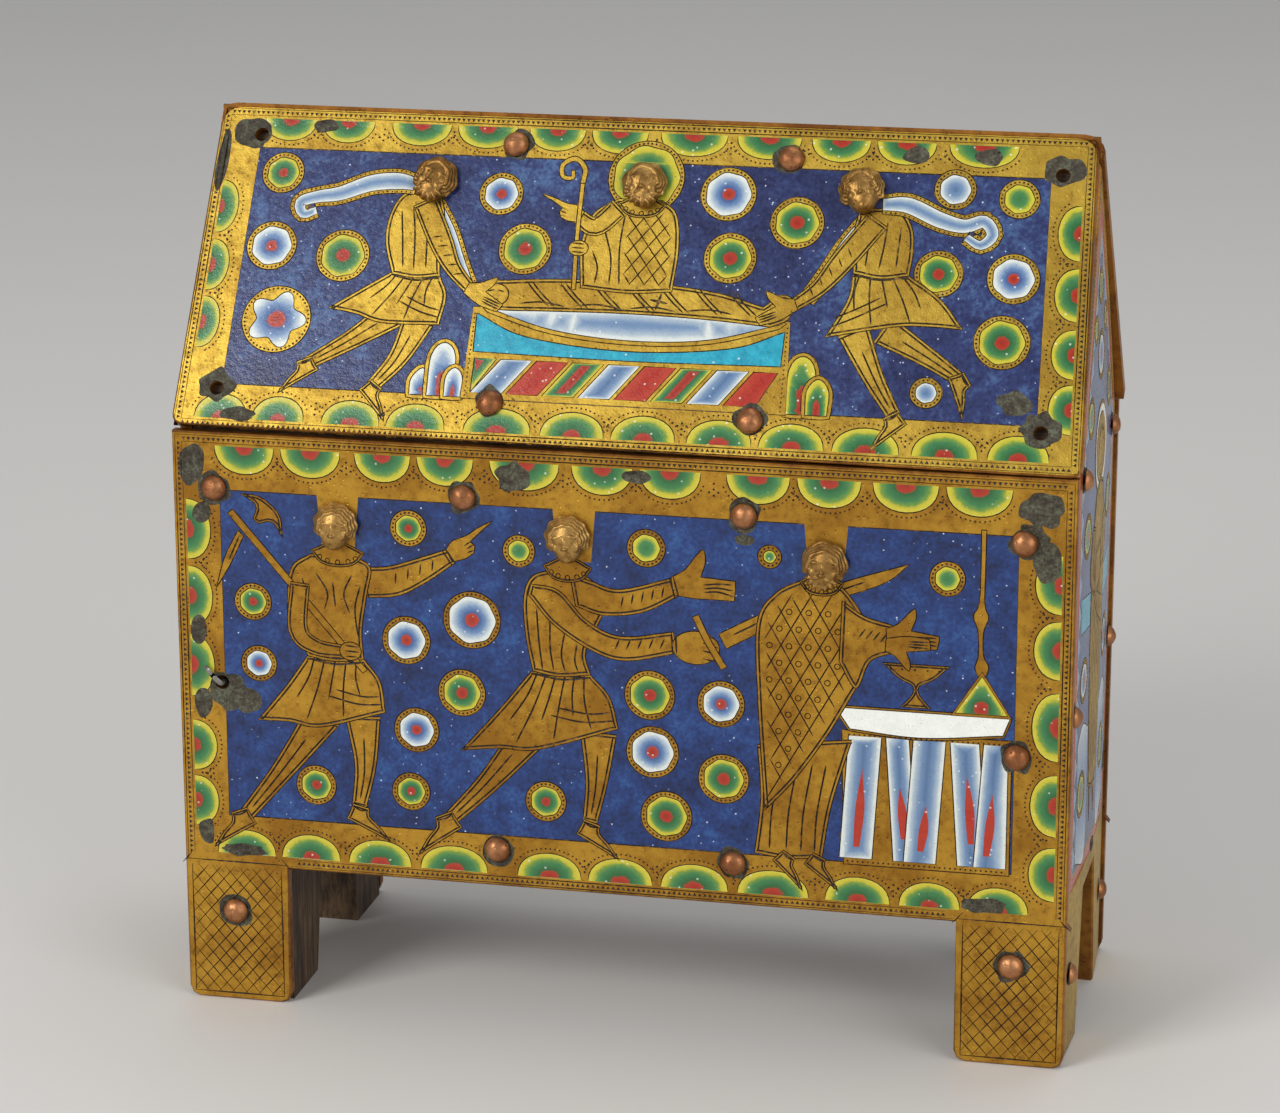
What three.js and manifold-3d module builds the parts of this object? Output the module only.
// A small house-shaped reliquary casket: an oak core of boards, sheathed in six thick copper plates.
// Millimetres, +Z up. The front looks towards -Y, and the origin is under the middle of the whole object.
import * as THREE from "three";
import { mergeVertices } from "three/addons/utils/BufferGeometryUtils.js";
import Module from "manifold-3d";

const wasm = await Module();
wasm.setup();

// Driving dimensions.
const LENGTH = 160; // along X, across the front plate
const DEPTH = 60; // along Y, from the face of the front plate to the face of the back plate
const WALL_TOP = 106.5; // height of the eaves
const RIDGE = 160; // height of the ridge
const FOOT_HEIGHT = 26;
const FOOT_WIDTH = 19.3; // along X
const FOOT_DEPTH_TOP = 22; // along Y, where the foot leaves the body
const FOOT_DEPTH_TIP = 17; // along Y, at the ground
const PLATE = 2.2; // thickness of the copper plates
const GAP = 0.3; // between neighbouring pieces
const END_BOARD = 16; // thickness of the oak boards
const SIDE_BOARD = 8;
const ROOF_BOARD = 7;
const FLOOR_BOARD = 7;
const GABLE_BULGE = 0.9; // the gable plates are bowed outwards by this much
const GABLE_LEAN = 1.6; // and lean inwards by this much between the eaves and the ridge
const EAVE_GAP = [1.3, 0.5]; // the open seam under the front roof plate, at its left and right ends
const ROOF_OVERHANG = 0.4; // of the front roof plate, past the front plate's ends at the eaves
const BACK_ROOF_OVERHANG = 1.2;
const RIDGE_INSET = 2; // the roof plates narrow by this much at each end of the ridge
const CORNER = 2; // rounding of the plates' free corners
const RIDGE_CORNER = 3.5; // rounding of the roof plates' corners at the ridge
const RIDGE_LAP = 0.35; // the front roof plate stops this far in front of the back one

const NAIL = { head: 2.35, rise: 1.7, shank: 0.8, length: 6, hole: 1.1 };
const SMALL_NAIL = { ...NAIL, head: 2.0, rise: 1.4 };
const EMPTY_HOLE = 1.3;
const HEAD_RISE = 4.6; // how far the cast heads stand off the plate

// Nails of each face, as [right, up] from the middle of its lower edge, seen from outside.
const frontNails = [
  [-72.4, 96.5], [-27, 97.4], [22.8, 97], [71.2, 95], [70.6, 57], [-21.5, 33], [21.2, 33.8],
  [-70.7, 17.3], [70.5, 18.6],
];
const roofNails = [[-23.8, 55.2], [25.5, 54.6], [-23, 8], [23, 7.3]];
const backNails = [[-72, 96.5], [0, 97.4], [72, 96.5], [-50, 32.5], [50, 32.5], [-70.5, 17.5], [70.5, 17.5]];
const backRoofNails = [[-70, 54], [70, 54], [-72, 7.5], [0, 7.5], [72, 7.5]];
const gableNails = [[-20, 104], [20, 104], [-24.5, 63], [24.5, 63], [-22, 15], [21, 15]];
const frontHoles = [[-72.5, 60.5]];
const roofHoles = [[-72, 55.4], [-72.7, 8], [73.6, 53.6], [72.5, 7.7]];

// Cast heads, as [right, up] on their face, with the tilt of the head in degrees, clockwise.
const frontHeads = { guard_head: [-50, 91, 3], swordsman_head: [-8.2, 91.2, -6], priest_head: [37, 89.3, 8] };
const roofHeads = { left_bearer_head: [-37.5, 47.8, 22], bishop_head: [0.2, 48.4, -4], right_bearer_head: [38.5, 49, -14] };

const GILT_ENAMEL = { color: 0x3f5f8f, roughness: 0.35, metalness: 0.3 };
const GILT = { color: 0xb98a3a, roughness: 0.35, metalness: 1 };
const NAIL_COPPER = { color: 0x8f6038, roughness: 0.3, metalness: 1 };
const OAK = { color: 0x5a4330, roughness: 0.85, metalness: 0 };

const halfDepth = DEPTH / 2;
const halfLength = LENGTH / 2;
const roofSlope = Math.atan2(RIDGE - WALL_TOP, halfDepth);
const slopeLength = Math.hypot(RIDGE - WALL_TOP, halfDepth);
const gableFace = halfLength - 0.6; // where the gable plate's edges lie along X

// Solids ------------------------------------------------------------------------------------------

function solidOf(geometry) {
  const bare = geometry.index ? geometry.toNonIndexed() : geometry.clone();
  bare.deleteAttribute("normal");
  bare.deleteAttribute("uv");
  const merged = mergeVertices(bare, 1e-4);
  return new wasm.Manifold(
    new wasm.Mesh({
      numProp: 3,
      vertProperties: merged.attributes.position.array,
      triVerts: new Uint32Array(merged.index.array),
    }),
  );
}

function geometryOf(solid) {
  const mesh = solid.getMesh();
  const geometry = new THREE.BufferGeometry();
  geometry.setAttribute("position", new THREE.BufferAttribute(mesh.vertProperties, 3));
  geometry.setIndex(new THREE.BufferAttribute(mesh.triVerts, 1));
  const flat = geometry.toNonIndexed();
  flat.computeVertexNormals();
  return flat;
}

// A closed outline of [x, y] points, with the corners named by their index rounded by the size given.
function outline(points, rounded = {}) {
  const shape = new THREE.Shape();
  points.forEach(([x, y], i) => {
    const before = new THREE.Vector2(...points[(i + points.length - 1) % points.length]);
    const after = new THREE.Vector2(...points[(i + 1) % points.length]);
    const here = new THREE.Vector2(x, y);
    const start = i === 0 ? "moveTo" : "lineTo";
    if (!rounded[i]) {
      shape[start](x, y);
      return;
    }
    const enter = here.clone().add(before.sub(here).setLength(rounded[i]));
    const leave = here.clone().add(after.sub(here).setLength(rounded[i]));
    shape[start](enter.x, enter.y);
    shape.quadraticCurveTo(x, y, leave.x, leave.y);
  });
  shape.closePath();
  return shape;
}

// An outline in X and Y, from `from` to `to` along Z.
function prism(shape, from, to) {
  const geometry = new THREE.ExtrudeGeometry(shape, { depth: to - from, bevelEnabled: false, curveSegments: 3 });
  return solidOf(geometry.translate(0, 0, from));
}

// A shank or its hole: a hexagonal rod along Z.
function rod([x, y], radius, from, to) {
  const rodGeometry = new THREE.CylinderGeometry(radius, radius, to - from, 6);
  return solidOf(rodGeometry.rotateX(Math.PI / 2).translate(x, y, (from + to) / 2));
}

function drilled(solid, places, radius, from, to) {
  return places.reduce((left, place) => left.subtract(rod(place, radius, from, to)), solid);
}

// Faces of the casket: X to the right as seen from outside, Y up, Z outwards ------------------------

function face(turn, lean, out, up) {
  const tilt = new THREE.Group();
  tilt.rotation.x = lean;
  tilt.position.set(0, -out, up);
  const group = new THREE.Group();
  group.rotation.z = turn;
  group.add(tilt);
  group.updateMatrixWorld(true);
  return { group, tilt };
}

const faces = {
  front: face(0, Math.PI / 2, halfDepth, 0),
  back: face(Math.PI, Math.PI / 2, halfDepth, 0),
  right: face(Math.PI / 2, Math.PI / 2, gableFace, 0),
  left: face(-Math.PI / 2, Math.PI / 2, gableFace, 0),
  roofFront: face(0, roofSlope, halfDepth, WALL_TOP),
  roofBack: face(Math.PI, roofSlope, halfDepth, WALL_TOP),
};

function inPlace(solid, { tilt }) {
  return solid.transform(tilt.matrixWorld.toArray());
}

// Plates -------------------------------------------------------------------------------------------

// A wall plate that runs down into two feet.
function wallPlate(nails, heads, empty) {
  const inner = halfLength - FOOT_WIDTH;
  const shape = outline(
    [
      [-halfLength, 0], [-inner, 0], [-inner, FOOT_HEIGHT], [inner, FOOT_HEIGHT], [inner, 0],
      [halfLength, 0], [halfLength, WALL_TOP], [-halfLength, WALL_TOP],
    ],
    { 0: CORNER, 1: CORNER, 4: CORNER, 5: CORNER },
  );
  const holes = drilled(prism(shape, -PLATE, 0), [...nails, ...heads], NAIL.hole, -PLATE - 1, 1);
  return drilled(holes, empty, EMPTY_HOLE, -PLATE - 1, 1);
}

// A prism along X from an outline drawn in the Y-Z plane, long enough to pass through the whole casket.
function alongX(shape) {
  const geometry = new THREE.ExtrudeGeometry(shape, { depth: LENGTH + 20, bevelEnabled: false });
  const turn = new THREE.Matrix4().makeBasis(
    new THREE.Vector3(0, 1, 0),
    new THREE.Vector3(0, 0, 1),
    new THREE.Vector3(1, 0, 0),
  );
  return solidOf(geometry.applyMatrix4(turn).translate(-halfLength - 10, 0, 0));
}

function polygon(points) {
  return new THREE.Shape(points.map(([x, y]) => new THREE.Vector2(x, y)));
}

// A roof plate: a slab under the slope, narrower at the ridge than at the eaves. Its lower edge is cut level,
// just clear of the wall plate, and its upper edge upright, `ridgeStop` mm short of the middle.
function roofPlate(nails, heads, empty, overhang, eaveGap, ridgeStop) {
  const wide = halfLength + overhang;
  const narrow = wide - RIDGE_INSET;
  const shape = outline(
    [[-wide, eaveGap[0]], [wide, eaveGap[1]], [narrow, slopeLength], [-narrow, slopeLength]],
    { 0: CORNER, 1: CORNER, 2: RIDGE_CORNER, 3: RIDGE_CORNER },
  );
  const plate = prism(shape, -PLATE, 0);
  const level = Math.min(...eaveGap); // up the slope
  const below = PLATE + 1;
  const eaveCut = [[level - 9, 1], [level, 0], [level + below / Math.tan(roofSlope), -below], [level - 9, -below]];
  const top = slopeLength - ridgeStop / Math.cos(roofSlope);
  const ridgeCut = [[top, 1], [top, 0], [top - below * Math.tan(roofSlope), -below], [top + 9, -below], [top + 9, 1]];
  const cut = plate.subtract(alongX(polygon(eaveCut))).subtract(alongX(polygon(ridgeCut)));
  const holes = drilled(cut, [...nails, ...heads], NAIL.hole, -PLATE - 1, 1);
  return drilled(holes, empty, EMPTY_HOLE, -PLATE - 1, 1);
}

// The house outline of a gable, with its two feet, `inset` mm inside the casket's outer faces.
function gableOutline(inset, roofInset) {
  const side = halfDepth - inset;
  const eaves = WALL_TOP + inset * Math.tan(roofSlope) - roofInset / Math.cos(roofSlope);
  const apex = RIDGE - roofInset / Math.cos(roofSlope);
  const footTop = halfDepth - FOOT_DEPTH_TOP;
  const footTip = halfDepth - FOOT_DEPTH_TIP;
  return outline([
    [-side, 0], [-footTip, 0], [-footTop, FOOT_HEIGHT], [footTop, FOOT_HEIGHT], [footTip, 0],
    [side, 0], [side, eaves], [0, apex], [-side, eaves],
  ]);
}

// An upright slab behind a gable's face, from the depth `back` to an outer face that bows outwards by `bulge`
// between its upright edges. Above the eaves the outer face leans inwards, towards the ridge.
function gableSlab(face, back, bulge) {
  const side = halfDepth - PLATE - GAP;
  const steps = bulge > 0 ? 8 : 1;
  const across = Array.from({ length: steps + 1 }, (_, i) => -side + (2 * side * i) / steps);
  const outer = across.map((x) => [x, face + bulge * (1 - (x / side) ** 2)]);
  const section = polygon([...outer, [side, back], [-side, back]].reverse());
  const slab = new THREE.ExtrudeGeometry(section, { depth: 2 * WALL_TOP, steps: 2, bevelEnabled: false });
  // Shape Y outwards, and the extrusion upwards from the ground, with its middle step at the eaves.
  slab.rotateX(Math.PI / 2).translate(0, 2 * WALL_TOP, 0);
  const place = slab.attributes.position;
  const lean = (GABLE_LEAN * WALL_TOP) / (RIDGE - WALL_TOP);
  for (let i = 0; i < place.count; i++)
    if (place.getY(i) > 1.5 * WALL_TOP) place.setZ(i, place.getZ(i) - lean);
  return solidOf(slab);
}

function gablePlate(nails) {
  const house = prism(gableOutline(PLATE + GAP, PLATE + GAP), -PLATE - 9, GABLE_BULGE + 1);
  return drilled(gableSlab(0, -PLATE, GABLE_BULGE).intersect(house), nails, NAIL.hole, -PLATE - 1, 3);
}

// Oak core -----------------------------------------------------------------------------------------

function box(x0, x1, y0, y1, z0, z1) {
  const block = new THREE.BoxGeometry(x1 - x0, y1 - y0, z1 - z0);
  return solidOf(block.translate((x0 + x1) / 2, (y0 + y1) / 2, (z0 + z1) / 2));
}

// The space under both roof slopes, `inset` mm below the casket's outer roof faces.
function underRoof(inset) {
  const drop = inset / Math.cos(roofSlope);
  const foot = halfDepth * 3.2; // wide enough for the slopes to reach below the ground
  const rise = foot * Math.tan(roofSlope);
  const eaves = RIDGE - drop - rise;
  return alongX(polygon([[-foot, eaves], [foot, eaves], [0, RIDGE - drop]]));
}

const coreEnd = gableFace - PLATE - GAP; // the core's outer end faces, along X
const coreSide = halfDepth - PLATE - GAP; // its outer side faces, along Y
const endInner = coreEnd - END_BOARD;
const roofOuter = PLATE + GAP;
const roofInner = roofOuter + ROOF_BOARD;

function endBoard(where) {
  const house = prism(gableOutline(PLATE + GAP, roofInner + GAP), -PLATE - GAP - END_BOARD, 1);
  const leaning = gableSlab(-PLATE - GAP, -PLATE - GAP - END_BOARD - GABLE_LEAN, 0);
  return inPlace(house.intersect(leaning), where);
}

function sideBoard(side) {
  const inner = coreSide - SIDE_BOARD;
  const reach = endInner - GAP;
  const y = side > 0 ? [inner, coreSide] : [-coreSide, -inner];
  const board = box(-reach, reach, y[0], y[1], FOOT_HEIGHT, WALL_TOP + 5);
  return board.intersect(underRoof(roofInner + GAP));
}

function floorBoard() {
  const reach = endInner - GAP;
  const side = coreSide - SIDE_BOARD - GAP;
  return box(-reach, reach, -side, side, FOOT_HEIGHT + 2, FOOT_HEIGHT + 2 + FLOOR_BOARD);
}

function roofBoard(side) {
  const slab = underRoof(roofOuter).subtract(underRoof(roofInner));
  // The back board runs to the ridge, and the front one stops against it.
  const y = side > 0 ? [GAP / 2, coreSide] : [-coreSide, -GAP / 2];
  const ends = polygon([
    [-coreEnd, WALL_TOP - 20], [coreEnd, WALL_TOP - 20], [coreEnd, WALL_TOP],
    [coreEnd - GABLE_LEAN, RIDGE], [-coreEnd + GABLE_LEAN, RIDGE], [-coreEnd, WALL_TOP],
  ]);
  const length = new THREE.ExtrudeGeometry(ends, { depth: y[1] - y[0], bevelEnabled: false });
  return slab.intersect(solidOf(length.rotateX(Math.PI / 2).translate(0, y[1], 0)));
}

// Nails and cast heads ------------------------------------------------------------------------------

// A domed nail whose head rests on Z = 0, with its shank below.
function nail({ head, rise, shank, length }) {
  const profile = [
    [0, -length], [shank, GAP], [head, GAP], [head * 0.75, GAP + 0.7 * rise], [0, GAP + rise],
  ];
  return new THREE.LatheGeometry(profile.map(([r, z]) => new THREE.Vector2(r, z)), 8).rotateX(Math.PI / 2);
}

function ellipsoid([x, y, z], [rx, ry, rz], wide, high) {
  return solidOf(new THREE.SphereGeometry(1, wide, high).scale(rx, ry, rz).translate(x, y, z));
}

// A cast head, calm and looking straight out of its face of the casket, with locks of hair combed back around it.
// Up is +Y. The face follows a plain canon: eyes at half its height, nose and mouth in even steps below.
function castHead(tilt) {
  const skull = ellipsoid([0, 0.3, 0.3], [3.55, 4.0, 3.5], 10, 6);
  const jaw = ellipsoid([0, -2.0, 0.9], [2.45, 2.5, 2.9], 8, 6);
  const sockets = [-1.2, 1.2].map((x) => ellipsoid([x, 0.1, 4.1], [0.85, 0.45, 0.75], 6, 4));
  const eyes = [-1.2, 1.2].map((x) => ellipsoid([x, 0.05, 3.2], [0.62, 0.3, 0.55], 6, 4));
  const nose = solidOf(new THREE.ConeGeometry(0.75, 2.1, 4).rotateY(Math.PI / 4).translate(0, -0.3, 3.75));
  const lips = ellipsoid([0, -2.15, 3.5], [0.85, 0.28, 0.55], 6, 4);
  const locks = [-1, 1].flatMap((side) =>
    [0, 1, 2].map((i) => {
      const turn = THREE.MathUtils.degToRad(22 + 38 * i);
      return ellipsoid([side * 3.1 * Math.sin(turn), 0.2 + 3.5 * Math.cos(turn), 1.5], [1.05, 1.05, 1.6], 6, 4);
    }),
  );
  const pin = rod([0, 0], NAIL.shank, -NAIL.length, 1);
  const carved = sockets.reduce((left, socket) => left.subtract(socket), skull.add(jaw));
  const relief = [...eyes, nose, lips, ...locks].reduce((whole, piece) => whole.add(piece), carved);
  const cutOff = prism(outline([[-9, -9], [9, -9], [9, 9], [-9, 9]]), GAP, HEAD_RISE + GAP);
  return geometryOf(relief.intersect(cutOff).add(pin)).rotateZ(THREE.MathUtils.degToRad(-tilt));
}

// Assembly ------------------------------------------------------------------------------------------

const casket = new THREE.Group();
casket.name = "reliquary_casket";
Object.values(faces).forEach(({ group }) => casket.add(group));

function addMesh(name, geometry, look, parent, place = [0, 0, 0]) {
  const mesh = new THREE.Mesh(geometry, new THREE.MeshStandardMaterial(look));
  mesh.name = name;
  mesh.position.set(...place);
  parent.add(mesh);
}

const headPlaces = (heads) => Object.values(heads).map(([x, y]) => [x, y]);
const frontPins = headPlaces(frontHeads);
const roofPins = headPlaces(roofHeads);

const plates = {
  front_plate: [faces.front, wallPlate(frontNails, frontPins, frontHoles)],
  back_plate: [faces.back, wallPlate(backNails, [], [])],
  right_gable_plate: [faces.right, gablePlate(gableNails)],
  left_gable_plate: [faces.left, gablePlate(gableNails)],
  front_roof_plate: [faces.roofFront, roofPlate(roofNails, roofPins, roofHoles, ROOF_OVERHANG, EAVE_GAP, RIDGE_LAP)],
  back_roof_plate: [faces.roofBack, roofPlate(backRoofNails, [], [], BACK_ROOF_OVERHANG, [EAVE_GAP[1], EAVE_GAP[1]], 0)],
};
for (const [name, [where, solid]] of Object.entries(plates))
  addMesh(name, geometryOf(solid), GILT_ENAMEL, where.tilt);

const nailed = {
  front: [faces.front, [...frontNails, ...frontPins]],
  back: [faces.back, backNails],
  right: [faces.right, gableNails],
  left: [faces.left, gableNails],
  roofFront: [faces.roofFront, [...roofNails, ...roofPins]],
  roofBack: [faces.roofBack, backRoofNails],
};
// Every nail's way into the oak, in the casket's own frame.
const nailWays = Object.values(nailed).flatMap(([where, places]) =>
  places.map((place) => inPlace(rod(place, NAIL.hole, -NAIL.length - 1, -PLATE + 0.5), where)),
);
const boards = {
  left_end_board: endBoard(faces.left),
  right_end_board: endBoard(faces.right),
  front_board: sideBoard(-1),
  back_board: sideBoard(1),
  floor_board: floorBoard(),
  front_roof_board: roofBoard(-1),
  back_roof_board: roofBoard(1),
};
for (const [name, solid] of Object.entries(boards)) {
  const bored = nailWays.reduce((left, way) => left.subtract(way), solid);
  addMesh(name, geometryOf(bored), OAK, casket);
}

function addNails(prefix, where, places, kind, outAt = () => 0) {
  places.forEach(([x, y], i) => {
    addMesh(`${prefix}_nail_${i + 1}`, nail(kind), NAIL_COPPER, where.tilt, [x, y, outAt(x)]);
  });
}
const bowAt = (x) => GABLE_BULGE * (1 - (x / (halfDepth - PLATE - GAP)) ** 2);
addNails("front", faces.front, frontNails, NAIL);
addNails("front_roof", faces.roofFront, roofNails, NAIL);
addNails("back", faces.back, backNails, NAIL);
addNails("back_roof", faces.roofBack, backRoofNails, NAIL);
addNails("right_gable", faces.right, gableNails, SMALL_NAIL, bowAt);
addNails("left_gable", faces.left, gableNails, SMALL_NAIL, bowAt);

for (const [heads, where] of [[frontHeads, faces.front], [roofHeads, faces.roofFront]])
  for (const [name, [x, y, tilt]] of Object.entries(heads))
    addMesh(name, castHead(tilt), GILT, where.tilt, [x, y, 0]);

// The heads make the front stand out further than the back: the origin goes under the middle of the whole.
const extent = new THREE.Box3().setFromObject(casket);
casket.position.set(-(extent.min.x + extent.max.x) / 2, -(extent.min.y + extent.max.y) / 2, -extent.min.z);

export default casket;
